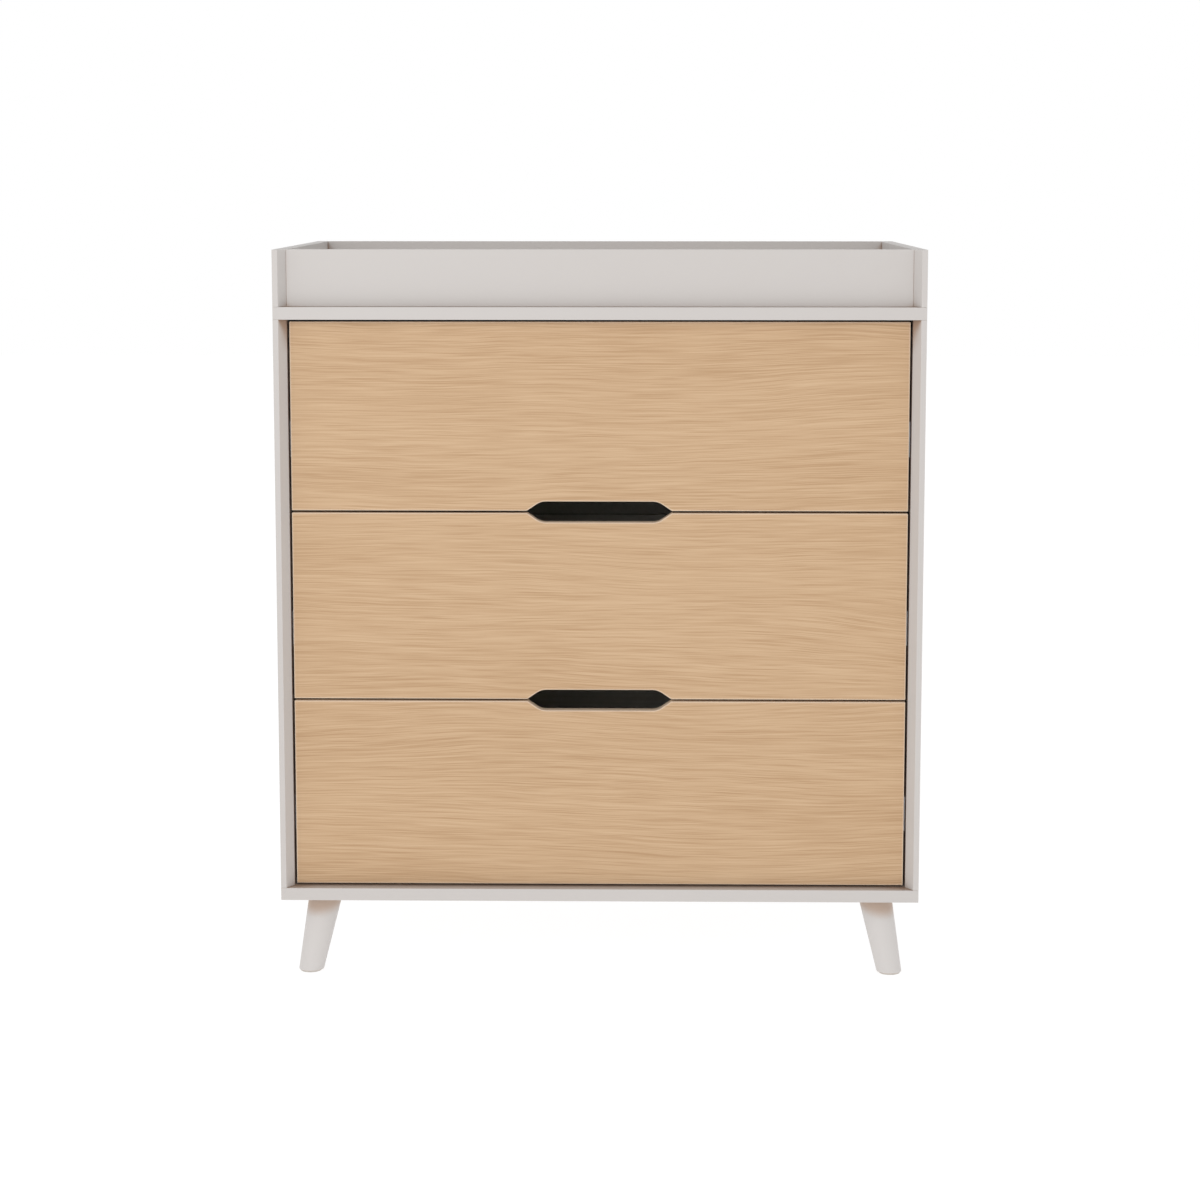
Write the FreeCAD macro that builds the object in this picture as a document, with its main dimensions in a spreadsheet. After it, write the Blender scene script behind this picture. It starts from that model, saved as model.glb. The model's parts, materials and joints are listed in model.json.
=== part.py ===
"""Changing table: a three-drawer dresser on splayed legs with a raised changing tray.

Frame: origin on the floor at the centre of the footprint, +Z up, drawer fronts facing -Y,
+X to the right of a person who stands in front. Lengths are in millimetres.
"""
import FreeCAD, Part
import math
import os
import Sketcher

from FreeCAD import Placement, Rotation, Vector

os.makedirs("parts", exist_ok=True)
doc = FreeCAD.newDocument("changing_table")

# ---------------------------------------------------------------- driving dimensions

DIMENSIONS = [
    ("overall_width", 824, "outside width over the side panels"),
    ("overall_depth", 480, "front edge to rear edge of the panels"),
    ("overall_height", 945, "floor to the top edge of the tray"),
    ("board", 16, "thickness of every carcass, tray and front board"),
    ("leg_height", 106, "floor to the underside of the bottom panel"),
    ("tray_height", 72, "height of the tray boards above the top panel"),
    ("recess", 15, "drawer fronts and tray front sit this far behind the front edge"),
    ("reveal", 3, "gap round every drawer front"),
    ("bevel_width", 9, "part of a side panel's front edge that slopes back to the recess"),
    ("paint_round", 0.5, "rounding of painted board edges"),
    ("front_round", 1.0, "rounding of the drawer fronts' edges"),
    ("slot_width", 185, "finger slot, tip to tip"),
    ("slot_cut", 12, "depth of the notch in each of the two fronts that share a slot"),
    ("slot_slope", 34, "slope of the slot's ends, in degrees"),
    ("slot_round", 21, "radius where a sloping end meets the slot's long edge"),
    ("back_thickness", 3, "hardboard back panel"),
    ("back_inset", 14, "rear edge of the panels to the back panel's groove"),
    ("groove_play", 0.2, "clearance on each face of a panel in its groove"),
    ("groove_depth", 6, "depth of the back panel's groove"),
    ("rail_height", 80, "rear rail under the top panel"),
    ("drawer_board", 12, "thickness of the drawer sides and back"),
    ("drawer_length", 400, "drawer side, front end to rear end"),
    ("drawer_height", 170, "height of the drawer sides and back"),
    ("drawer_raise", 18, "bottom edge of a front to the bottom edge of its sides"),
    ("drawer_bottom", 4, "thickness of the drawer bottom"),
    ("bottom_raise", 10, "bottom edge of a drawer side to the bottom's groove"),
    ("bottom_groove", 5, "depth of the drawer bottom's groove"),
    ("runner_space", 13, "side panel to drawer side, filled by the runner"),
    ("runner_raise", 72, "bottom edge of a drawer side to the middle of its runner"),
    ("runner_length", 400, "length of each runner member"),
    ("runner_front", 3, "rear face of a front to the front end of its runners"),
    ("steel", 1.2, "sheet thickness of the runner members"),
    ("cabinet_member", 45, "height of the member on the side panel"),
    ("middle_member", 36.4, "height of the member in between"),
    ("drawer_member", 27.4, "height of the member on the drawer side"),
    ("leg_inset_x", 52, "side edge to the top centre of a leg"),
    ("leg_inset_y", 65, "front or rear edge to the top centre of a leg"),
    ("leg_spread", 20, "how far a leg spreads outwards in X, and again in Y"),
    ("leg_top_radius", 21.5, "leg at its top"),
    ("leg_foot_radius", 16, "leg at its foot"),
    ("leg_play", 0.3, "highest point of a leg's top to its plate"),
    ("plate_size", 64, "side of a square leg plate"),
    ("plate_thickness", 2.5, "leg plate's base"),
    ("plate_holes", 35, "centre of a leg plate to each of its screws"),
    ("glide_radius", 14, "foot glide"),
    ("glide_height", 2, "foot glide"),
    ("dowel_radius", 4, "wooden dowel"),
    ("dowel_length", 30, "wooden dowel"),
    ("dowel_short", 10, "part of a dowel that sits in the board's face"),
    ("cam_radius", 7.5, "cam lock"),
    ("cam_reach", 24, "end of a board to the centre of its cam lock"),
    ("cam_depth", 12.5, "cam lock in a 16 mm board"),
    ("small_cam_depth", 10.5, "cam lock in a drawer side"),
    ("bolt_radius", 3, "cam bolt"),
    ("bolt_thread", 10, "part of a cam bolt that screws into the other board"),
    ("bolt_collar", 2, "height of the collar that stops a cam bolt at the board's face"),
    ("bolt_neck", 1.8, "radius of a cam bolt's neck, which its cam lock grips"),
    ("cam_mouth", 7, "width of a cam lock's mouth"),
    ("screw_radius", 2, "pan head screw"),
    ("screw_length", 11, "pan head screw under its head"),
    ("screw_point", 3, "length of a pan head screw's point"),
    ("head_radius", 3.6, "pan head"),
    ("head_height", 1.6, "pan head"),
    ("long_radius", 2.2, "countersunk screw"),
    ("long_length", 40, "countersunk screw"),
    ("long_point", 5, "length of a countersunk screw's and a hanger bolt's point"),
    ("hanger_radius", 4, "hanger bolt between a leg and its plate"),
    ("hanger_length", 30, "part of a hanger bolt that sits in the leg"),
    ("bracket_width", 20, "anti-tip bracket"),
    ("bracket_drop", 32, "anti-tip bracket, height of the leg that faces the wall"),
    ("bracket_reach", 12, "anti-tip bracket, depth of the leg under the top panel"),
    ("bracket_steel", 2, "anti-tip bracket"),
    ("bracket_x", 200, "middle of the object to each anti-tip bracket"),
    ("wall_hole_radius", 2.75, "wall screw's hole in an anti-tip bracket"),
    ("wall_hole_drop", 20.8, "top of an anti-tip bracket to its wall screw"),
    ("hole_play", 0.1, "clearance of a fastener's hole on its radius and depth"),
]

sheet = doc.addObject("Spreadsheet::Sheet", "dims")
for row, (alias, number, note) in enumerate(DIMENSIONS, start=1):
    sheet.set(f"A{row}", note)
    sheet.set(f"B{row}", str(number))
    sheet.setAlias(f"B{row}", alias)
doc.recompute()


def value(expression):
    """The number that an expression over the spreadsheet gives now."""
    result = sheet.evalExpression(str(expression))
    return float(getattr(result, "Value", result))


# ---------------------------------------------------------------- derived sizes, as expressions

HALF_WIDTH = "dims.overall_width / 2"
HALF_DEPTH = "dims.overall_depth / 2"
INNER_HALF = "(dims.overall_width / 2 - dims.board)"
MID_BOARD = "dims.board / 2"
BOTTOM_TOP = "(dims.leg_height + dims.board)"
TOP_FACE = "(dims.overall_height - dims.tray_height)"
TOP_UNDERSIDE = f"({TOP_FACE} - dims.board)"
OPENING_HEIGHT = f"({TOP_UNDERSIDE} - {BOTTOM_TOP})"
FRONT_HEIGHT = f"(({OPENING_HEIGHT} - 4 * dims.reveal) / 3)"
FRONT_HALF = f"({INNER_HALF} - dims.reveal)"
FRONT_FACE = f"(dims.recess - {HALF_DEPTH})"

GROOVE_REAR = f"({HALF_DEPTH} - dims.back_inset)"
GROOVE_FRONT = f"({GROOVE_REAR} - dims.back_thickness - 2 * dims.groove_play)"
RAIL_FRONT = f"({GROOVE_FRONT} + dims.groove_play - dims.board)"

DRAWER_HALF = f"({INNER_HALF} - dims.runner_space)"
DRAWER_INNER = f"({DRAWER_HALF} - dims.drawer_board)"
DRAWER_FRONT = f"({FRONT_FACE} + dims.board)"
MID_DRAWER_BOARD = "dims.drawer_board / 2"
GROOVE_TOP = "(dims.bottom_raise + dims.drawer_bottom + 2 * dims.groove_play)"
TONGUE = "(dims.bottom_groove - 2 * dims.groove_play)"

LEG_X = f"({HALF_WIDTH} - dims.leg_inset_x)"
LEG_Y = f"({HALF_DEPTH} - dims.leg_inset_y)"
TILT = "atan(sqrt(2) * dims.leg_spread / dims.leg_height)"
LEG_DROP = f"((dims.plate_thickness + dims.leg_play + dims.leg_top_radius * sin({TILT})) / cos({TILT}))"
LEG_AXIS = f"((dims.leg_height - dims.glide_height) / cos({TILT}) - {LEG_DROP})"
BRACKET_SCREW_Y = f"({HALF_DEPTH} - (dims.bracket_reach + dims.bracket_steel) / 2)"

# Where the fasteners sit.
CAM_Y = ["-170", "170"]
DOWEL_Y = ["-110", "110"]
TRAY_DOWEL_Y = ["-60", "60"]
TRAY_SCREW_X = ["-300", "0", "300"]
TRAY_DOWEL_Z = ["18", "54"]
RAIL_CAM_Z = "40"
RAIL_DOWEL_Z = ["15", "65"]
RUNNER_SCREW_Y = ["37", "197", "357"]
DRAWER_CAM_Z = ["30", "140"]
DRAWER_SCREW_Z = ["30", "125"]

SIDES = {"left": -1, "right": 1}
ENDS = {"front": -1, "rear": 1}
DRAWERS = ["bottom", "middle", "top"]

nodes = {}

# ---------------------------------------------------------------- building blocks

PLANES = {"x": ("YZ_Plane", 1), "y": ("XZ_Plane", -1), "z": ("XY_Plane", 1)}
DIRECTIONS = {
    "+x": Vector(1, 0, 0),
    "-x": Vector(-1, 0, 0),
    "+y": Vector(0, 1, 0),
    "-y": Vector(0, -1, 0),
    "+z": Vector(0, 0, 1),
    "-z": Vector(0, 0, -1),
}


def outward(side, axis="x"):
    """The direction name that points away from the middle on one side."""
    return f"+{axis}" if side > 0 else f"-{axis}"


def inward(side, axis="x"):
    """The direction name that points back to the middle from one side."""
    return outward(-side, axis)


def place(item, x, y, z, rotation=Rotation()):
    """Puts an object at a point given as expressions, and keeps it bound to them."""
    item.Placement = Placement(Vector(value(x), value(y), value(z)), rotation)
    for axis, expression in zip("xyz", (x, y, z)):
        item.setExpression(f"Placement.Base.{axis}", str(expression))


def new_body(label, x="0", y="0", z="0", rotation=Rotation(), is_node=True):
    """A body at its place; a node is a sub-part of the object that gets its own file."""
    body = doc.addObject("PartDesign::Body", label)
    place(body, x, y, z, rotation)
    if is_node:
        nodes[label] = body
    return body


def new_sketch(body, name, axis, at):
    """A sketch square to one axis of its body, at a coordinate along that axis."""
    role, sign = PLANES[axis]
    sketch = body.newObject("Sketcher::SketchObject", f"{body.Name}_{name}")
    plane = next(item for item in body.Origin.OriginFeatures if item.Role == role)
    sketch.AttachmentSupport = [(plane, "")]
    sketch.MapMode = "FlatFace"
    sketch.setExpression("AttachmentOffset.Base.z", f"{sign} * ({at})")
    return sketch


def bind(sketch, kind, geometry, point, expression):
    """Fixes one coordinate of a point by an expression."""
    constraint = Sketcher.Constraint(kind, -1, 1, geometry, point, value(expression))
    index = sketch.addConstraint(constraint)
    sketch.setExpression(f"Constraints[{index}]", str(expression))


def draw_outline(sketch, corners):
    """A closed outline of straight lines through corners given as expressions."""
    points = [Vector(value(across), value(up), 0) for across, up in corners]
    count = len(points)
    for index in range(count):
        sketch.addGeometry(Part.LineSegment(points[index], points[(index + 1) % count]))
    for index, (across, up) in enumerate(corners):
        following = (index + 1) % count
        sketch.addConstraint(Sketcher.Constraint("Coincident", index, 2, following, 1))
        bind(sketch, "DistanceX", index, 1, across)
        bind(sketch, "DistanceY", index, 1, up)


def draw_circles(sketch, radius, centres):
    """Circles of one radius round centres given as expressions."""
    for across, up in centres:
        centre = Vector(value(across), value(up), 0)
        index = sketch.addGeometry(Part.Circle(centre, Vector(0, 0, 1), value(radius)))
        bind(sketch, "DistanceX", index, 3, across)
        bind(sketch, "DistanceY", index, 3, up)
        size = sketch.addConstraint(Sketcher.Constraint("Radius", index, value(radius)))
        sketch.setExpression(f"Constraints[{size}]", str(radius))


def extrude(body, name, direction, at, corners, length):
    """Pads an outline from a coordinate along a direction such as +x."""
    axis = direction[1]
    sketch = new_sketch(body, f"{name}_outline", axis, at)
    draw_outline(sketch, corners)
    pad = body.newObject("PartDesign::Pad", f"{body.Name}_{name}")
    pad.Profile = sketch
    pad.setExpression("Length", str(length))
    pad.Reversed = (direction[0] == "-") == (PLANES[axis][1] > 0)
    return pad


def finish_cut(body, name, direction, sketch, depth):
    """Pockets a sketch along a direction such as +x."""
    pocket = body.newObject("PartDesign::Pocket", f"{body.Name}_{name}")
    pocket.Profile = sketch
    pocket.setExpression("Length", str(depth))
    pocket.Reversed = (direction[0] == "+") == (PLANES[direction[1]][1] > 0)
    return pocket


def cut(body, name, direction, at, corners, depth):
    """Cuts an outline into a body from a coordinate along a direction."""
    sketch = new_sketch(body, f"{name}_outline", direction[1], at)
    draw_outline(sketch, corners)
    return finish_cut(body, name, direction, sketch, depth)


def drill(body, name, direction, at, centres, radius, depth):
    """Drills holes of one size from a coordinate along a direction."""
    sketch = new_sketch(body, f"{name}_circles", direction[1], at)
    draw_circles(sketch, f"{radius} + dims.hole_play", centres)
    return finish_cut(body, name, direction, sketch, f"{depth} + dims.hole_play")


def rectangle(left, low, right, high):
    """The corners of a rectangle."""
    return [(left, low), (right, low), (right, high), (left, high)]


def pick_edges(feature, wanted):
    """The names of a feature's edges that pass a test."""
    doc.recompute()
    edges = enumerate(feature.Shape.Edges, start=1)
    return [f"Edge{number}" for number, edge in edges if wanted(edge)]


def round_all(body, feature, radius):
    """Rounds every edge of a feature."""
    fillet = body.newObject("PartDesign::Fillet", f"{body.Name}_rounding")
    fillet.Base = (feature, ["Edge1"])
    fillet.UseAllEdges = True
    fillet.setExpression("Radius", radius)
    return fillet


def countersink(body, name, feature, axis, at, radius):
    """Opens the rims of drilled holes to 45 degrees so that a flat screw head sits flush."""
    index = "xyz".index(axis)

    def is_rim(edge):
        if edge.Degenerated or not isinstance(edge.Curve, Part.Circle):
            return False
        circle = edge.Curve
        in_plane = abs(circle.Center[index] - value(at)) < 0.01
        return in_plane and abs(circle.Radius - value(f"{radius} + dims.hole_play")) < 0.01

    chamfer = body.newObject("PartDesign::Chamfer", f"{body.Name}_{name}")
    chamfer.Base = (feature, pick_edges(feature, is_rim))
    chamfer.setExpression("Size", radius)
    return chamfer


def turned(body, name, profile):
    """Revolves a profile of (radius, height) corners about the body's Z axis."""
    sketch = new_sketch(body, f"{name}_outline", "y", "0")
    draw_outline(sketch, profile)
    revolution = body.newObject("PartDesign::Revolution", f"{body.Name}_{name}")
    revolution.Profile = sketch
    revolution.ReferenceAxis = (sketch, ["V_Axis"])
    revolution.Angle = 360
    return revolution


# ---------------------------------------------------------------- fasteners
# Each fastener is modelled once, with +Z the way it is driven and its origin on the surface
# that it is driven into. A group node holds its copies, each a separate solid.


def cross_recess(body, at, span, width, depth):
    """A cross-shaped driver recess in a fastener's head."""
    half = f"({width} / 2)"
    arm = f"({span} / 2)"
    corners = [
        (half, half), (arm, half), (arm, f"-{half}"), (half, f"-{half}"),
        (half, f"-{arm}"), (f"-{half}", f"-{arm}"), (f"-{half}", f"-{half}"), (f"-{arm}", f"-{half}"),
        (f"-{arm}", half), (f"-{half}", half), (f"-{half}", arm), (half, arm),
    ]
    cut(body, "recess", "+z", at, corners, depth)


def make_dowel():
    """A wooden dowel with chamfered ends, its short end driven into the face of a board."""
    body = new_body("dowel_master", is_node=False)
    tail = "(dims.dowel_short - dims.dowel_length)"
    tip = "(dims.dowel_radius - 1)"
    profile = [
        ("0", "dims.dowel_short"), (tip, "dims.dowel_short"), ("dims.dowel_radius", "dims.dowel_short - 1"),
        ("dims.dowel_radius", f"{tail} + 1"), (tip, tail), ("0", tail),
    ]
    turned(body, "pin", profile)
    return body


def make_cam_bolt():
    """A cam bolt: thread, collar, shank, and a ball end that the cam lock grips."""
    body = new_body("cam_bolt_master", is_node=False)
    grip = "-dims.cam_reach"
    collar = "(dims.bolt_radius + 0.6)"
    profile = [
        ("0", "dims.bolt_thread"), ("dims.bolt_radius - 0.5", "dims.bolt_thread"),
        ("dims.bolt_radius", "dims.bolt_thread - 0.5"), ("dims.bolt_radius", "0"),
        (collar, "0"), (collar, "-dims.bolt_collar"),
        ("dims.bolt_radius", "-dims.bolt_collar"), ("dims.bolt_radius", f"{grip} + 6"),
        ("dims.bolt_neck", f"{grip} + 5"), ("dims.bolt_neck", f"{grip} + 2"),
        ("dims.bolt_radius", f"{grip} + 1"), ("dims.bolt_radius", f"{grip} - 1"),
        ("dims.bolt_radius - 1", f"{grip} - 2"), ("0", f"{grip} - 2"),
    ]
    turned(body, "shank", profile)
    return body


def make_cam_lock(label, depth, axis_depth):
    """A cam lock's housing: a disc with a driver cross and a mouth for the bolt's ball end."""
    body = new_body(label, is_node=False)
    profile = [("0", "0"), ("dims.cam_radius", "0"), ("dims.cam_radius", depth), ("0", depth)]
    turned(body, "disc", profile)
    cross_recess(body, "0", "8", "1.6", "1.8")
    half = "dims.cam_mouth / 2"
    mouth = rectangle(f"-{half}", f"{axis_depth} - {half}", half, f"{axis_depth} + {half}")
    cut(body, "mouth", "-x", "dims.cam_radius + 1", mouth, "dims.cam_radius + 4")
    return body


def make_pan_screw():
    """A pan head screw with a cross recess."""
    body = new_body("pan_screw_master", is_node=False)
    profile = [
        ("0", "-dims.head_height"), ("dims.head_radius - 1", "-dims.head_height"),
        ("dims.head_radius", "-dims.head_height / 2"), ("dims.head_radius", "0"),
        ("dims.screw_radius", "0"), ("dims.screw_radius", "dims.screw_length - dims.screw_point"),
        ("0", "dims.screw_length"),
    ]
    turned(body, "shank", profile)
    cross_recess(body, "-dims.head_height", "3.2", "0.8", "1.0")
    return body


def make_long_screw():
    """A countersunk screw with a cross recess."""
    body = new_body("long_screw_master", is_node=False)
    profile = [
        ("0", "0"), ("2 * dims.long_radius", "0"), ("dims.long_radius", "dims.long_radius"),
        ("dims.long_radius", "dims.long_length - dims.long_point"), ("0", "dims.long_length"),
    ]
    turned(body, "shank", profile)
    cross_recess(body, "0", "4", "1.0", "1.6")
    return body


def make_hanger_bolt():
    """A hanger bolt: machine thread up into the leg plate, wood thread down into the leg."""
    body = new_body("hanger_bolt_master", is_node=False)
    top = f"({LEG_DROP} - 2)"
    profile = [
        ("0", top), ("dims.hanger_radius - 0.8", top), ("dims.hanger_radius", f"{top} - 0.8"),
        ("dims.hanger_radius", "dims.long_point - dims.hanger_length"), ("0", "-dims.hanger_length"),
    ]
    turned(body, "shank", profile)
    return body


def turn_to(drive, facing):
    """The rotation that takes +Z to the drive direction and +X to the facing direction."""
    forward = DIRECTIONS[drive]
    across = DIRECTIONS[facing]
    return Rotation(across, forward.cross(across), forward, "ZXY")


def any_facing(drive):
    """Some direction square to the drive direction, for a fastener that is round."""
    return "+z" if drive[1] == "x" else "+x"


def gather(label, solids):
    """One node that holds several separate solids."""
    compound = doc.addObject("Part::Compound", label)
    compound.Links = solids
    nodes[label] = compound


def group(label, *fasteners):
    """One node that holds copies of fasteners, each a separate solid.

    Each of fasteners is a master with its places. A place is (x, y, z, rotation), or
    (x, y, z, drive) for a round fastener.
    """
    links = []
    for master, places in fasteners:
        for x, y, z, turn in places:
            rotation = turn_to(turn, any_facing(turn)) if isinstance(turn, str) else turn
            link = doc.addObject("App::Link", f"{label}_{len(links) + 1}")
            link.LinkedObject = master
            place(link, x, y, z, rotation)
            links.append(link)
    gather(label, links)


# ---------------------------------------------------------------- carcass panels


def upright_profile(side, with_groove):
    """Plan of an upright board: a front edge bevelled on the inside, and the back's groove."""
    outside = f"{side} * dims.board"
    corners = [
        ("0", f"-{HALF_DEPTH} + dims.recess"),
        (f"{side} * dims.bevel_width", f"-{HALF_DEPTH}"),
        (outside, f"-{HALF_DEPTH}"),
        (outside, HALF_DEPTH),
        ("0", HALF_DEPTH),
    ]
    if with_groove:
        end = f"{side} * dims.groove_depth"
        corners += [("0", GROOVE_REAR), (end, GROOVE_REAR), (end, GROOVE_FRONT), ("0", GROOVE_FRONT)]
    return corners


def grid(across, up):
    """Every pairing of two lists of coordinates."""
    return [(first, second) for first in across for second in up]


def drawer_floor(index):
    """Height of the bottom edge of a drawer front, counted from the lowest drawer."""
    return f"({BOTTOM_TOP} + dims.reveal + {index} * ({FRONT_HEIGHT} + dims.reveal))"


def runner_middle(index):
    """Height of the middle of a drawer's runners."""
    return f"({drawer_floor(index)} + dims.drawer_raise + dims.runner_raise)"


RUNNER_START = f"({DRAWER_FRONT} + dims.runner_front)"
RUNNER_SCREW_AT = [f"({RUNNER_START} + {offset})" for offset in RUNNER_SCREW_Y]
BOLT_HOLE_DEPTH = "dims.cam_reach - dims.cam_radius / 2"
DOWEL_LONG = "(dims.dowel_length - dims.dowel_short)"


def make_side_panel(name, side):
    """An upright side panel; its origin is on its inner face, at mid depth and its lower end."""
    body = new_body(f"{name}_side_panel", f"{side} * {INNER_HALF}", "0", BOTTOM_TOP)
    slab = extrude(body, "slab", "+z", "0", upright_profile(side, True), OPENING_HEIGHT)
    round_all(body, slab, "dims.paint_round")
    middle = f"{side} * {MID_BOARD}"
    out = outward(side)
    cam_heights = ["dims.cam_reach", f"{OPENING_HEIGHT} - dims.cam_reach"]
    drill(body, "cams", out, "0", grid(CAM_Y, cam_heights), "dims.cam_radius", "dims.cam_depth")
    for end, direction, height in (("lower", "+z", "0"), ("upper", "-z", OPENING_HEIGHT)):
        bolt_holes = grid([middle], CAM_Y)
        dowel_holes = grid([middle], DOWEL_Y)
        drill(body, f"{end}_bolts", direction, height, bolt_holes, "dims.dowel_radius", BOLT_HOLE_DEPTH)
        drill(body, f"{end}_dowels", direction, height, dowel_holes, "dims.dowel_radius", DOWEL_LONG)
    rail_y = f"{RAIL_FRONT} + {MID_BOARD}"
    rail_floor = f"{OPENING_HEIGHT} - dims.rail_height"
    rail_dowels = [(rail_y, f"{rail_floor} + {height}") for height in RAIL_DOWEL_Z]
    drill(body, "rail_dowels", out, "0", rail_dowels, "dims.dowel_radius", "dims.dowel_short")
    rail_bolt = [(rail_y, f"{rail_floor} + {RAIL_CAM_Z}")]
    drill(body, "rail_bolt", out, "0", rail_bolt, "dims.bolt_radius", "dims.bolt_thread")
    runner_heights = [f"{runner_middle(index)} - {BOTTOM_TOP}" for index in range(len(DRAWERS))]
    runner_holes = grid(RUNNER_SCREW_AT, runner_heights)
    drill(body, "runner_screws", out, "0", runner_holes, "dims.screw_radius", "dims.screw_length")


def level_panel(label, height):
    """A full-size horizontal panel; its origin is at the middle of its underside."""
    body = new_body(label, "0", "0", height)
    outline = rectangle(f"-{HALF_WIDTH}", f"-{HALF_DEPTH}", HALF_WIDTH, HALF_DEPTH)
    slab = extrude(body, "slab", "+z", "0", outline, "dims.board")
    round_all(body, slab, "dims.paint_round")
    return body


def join_to_sides(body, direction, at):
    """The bolt holes, dowel holes and back groove in the face that meets the side panels."""
    middles = [f"-({INNER_HALF} + {MID_BOARD})", f"{INNER_HALF} + {MID_BOARD}"]
    drill(body, "bolts", direction, at, grid(middles, CAM_Y), "dims.bolt_radius", "dims.bolt_thread")
    drill(body, "dowels", direction, at, grid(middles, DOWEL_Y), "dims.dowel_radius", "dims.dowel_short")
    groove_half = f"({INNER_HALF} + dims.groove_depth)"
    groove = rectangle(f"-{groove_half}", GROOVE_FRONT, groove_half, GROOVE_REAR)
    cut(body, "groove", direction, at, groove, "dims.groove_depth")


def make_top_panel():
    """The top panel, which the tray stands on."""
    body = level_panel("top_panel", TOP_UNDERSIDE)
    join_to_sides(body, "+z", "0")
    middles = [f"-({INNER_HALF} + {MID_BOARD})", f"{INNER_HALF} + {MID_BOARD}"]
    tray_dowels = grid(middles, TRAY_DOWEL_Y)
    drill(body, "tray_dowels", "-z", "dims.board", tray_dowels, "dims.dowel_radius", "dims.dowel_short")
    tray_lines = [f"{FRONT_FACE} + {MID_BOARD}", f"{HALF_DEPTH} - {MID_BOARD}"]
    screw_holes = grid(TRAY_SCREW_X, tray_lines)
    through = drill(body, "tray_screws", "+z", "0", screw_holes, "dims.long_radius", "dims.board")
    countersink(body, "tray_screw_sinks", through, "z", "0", "dims.long_radius")
    bracket_screws = grid(["-dims.bracket_x", "dims.bracket_x"], [BRACKET_SCREW_Y])
    drill(body, "bracket_screws", "+z", "0", bracket_screws, "dims.screw_radius", "dims.screw_length")


def leg_axes():
    """Name, side, end and splay angle in degrees of each leg."""
    for end_name, end in ENDS.items():
        for side_name, side in SIDES.items():
            yield f"{end_name}_{side_name}", side, end, math.degrees(math.atan2(end, side))


def plate_screw_places():
    """Where the four screws of each leg plate enter the bottom panel."""
    half = "dims.plate_holes / sqrt(2)"
    for _, side, end, _ in leg_axes():
        for across in SIDES.values():
            for along in ENDS.values():
                yield f"{side} * {LEG_X} + {across} * {half}", f"{end} * {LEG_Y} + {along} * {half}"


def make_bottom_panel():
    """The bottom panel, which the legs screw to."""
    body = level_panel("bottom_panel", "dims.leg_height")
    join_to_sides(body, "-z", "dims.board")
    screw_depth = "dims.screw_length - dims.plate_thickness"
    drill(body, "plate_screws", "+z", "0", list(plate_screw_places()), "dims.screw_radius", screw_depth)


def make_back():
    """The hardboard back panel in its groove, and the rear rail in front of it."""
    tongue = "(dims.groove_depth - dims.groove_play)"
    floor = f"{BOTTOM_TOP} - {tongue}"
    panel = new_body("back_panel", "0", f"{GROOVE_FRONT} + dims.groove_play", floor)
    reach = f"({INNER_HALF} + {tongue})"
    outline = rectangle(f"-{reach}", "0", reach, f"{OPENING_HEIGHT} + 2 * {tongue}")
    extrude(panel, "sheet", "+y", "0", outline, "dims.back_thickness")

    rail = new_body("rear_rail", "0", RAIL_FRONT, f"{TOP_UNDERSIDE} - dims.rail_height")
    outline = rectangle(f"-{INNER_HALF}", "0", INNER_HALF, "dims.rail_height")
    slab = extrude(rail, "slab", "+y", "0", outline, "dims.board")
    round_all(rail, slab, "dims.paint_round")
    cam_x = f"({INNER_HALF} - dims.cam_reach)"
    cam_holes = [(f"-{cam_x}", RAIL_CAM_Z), (cam_x, RAIL_CAM_Z)]
    drill(rail, "cams", "+y", "0", cam_holes, "dims.cam_radius", "dims.cam_depth")
    for name, side in SIDES.items():
        end = f"{side} * {INNER_HALF}"
        dowel_holes = grid([MID_BOARD], RAIL_DOWEL_Z)
        bolt_hole = [(MID_BOARD, RAIL_CAM_Z)]
        drill(rail, f"{name}_dowels", inward(side), end, dowel_holes, "dims.dowel_radius", DOWEL_LONG)
        drill(rail, f"{name}_bolt", inward(side), end, bolt_hole, "dims.dowel_radius", BOLT_HOLE_DEPTH)


# ---------------------------------------------------------------- tray

TRAY_CROSS_BOARDS = {"front": FRONT_FACE, "back": f"({HALF_DEPTH} - dims.board)"}


def make_tray():
    """Two side boards at full depth, with a front board and a back board between them."""
    corner_lines = [f"{start} + {MID_BOARD}" for start in TRAY_CROSS_BOARDS.values()]
    for name, side in SIDES.items():
        body = new_body(f"tray_{name}_board", f"{side} * {INNER_HALF}", "0", TOP_FACE)
        slab = extrude(body, "slab", "+z", "0", upright_profile(side, False), "dims.tray_height")
        round_all(body, slab, "dims.paint_round")
        out = outward(side)
        corner_holes = grid(corner_lines, TRAY_DOWEL_Z)
        drill(body, "corner_dowels", out, "0", corner_holes, "dims.dowel_radius", "dims.dowel_short")
        foot_holes = grid([f"{side} * {MID_BOARD}"], TRAY_DOWEL_Y)
        drill(body, "foot_dowels", "+z", "0", foot_holes, "dims.dowel_radius", DOWEL_LONG)
    for name, start in TRAY_CROSS_BOARDS.items():
        body = new_body(f"tray_{name}_board", "0", start, TOP_FACE)
        outline = rectangle(f"-{INNER_HALF}", "0", INNER_HALF, "dims.tray_height")
        slab = extrude(body, "slab", "+y", "0", outline, "dims.board")
        round_all(body, slab, "dims.paint_round")
        for side_name, side in SIDES.items():
            holes = grid([MID_BOARD], TRAY_DOWEL_Z)
            end = f"{side} * {INNER_HALF}"
            drill(body, f"{side_name}_dowels", inward(side), end, holes, "dims.dowel_radius", DOWEL_LONG)
        screw_holes = grid(TRAY_SCREW_X, [MID_BOARD])
        drill(body, "screws", "+z", "0", screw_holes, "dims.long_radius", "dims.long_length - dims.board")


# ---------------------------------------------------------------- legs


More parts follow.
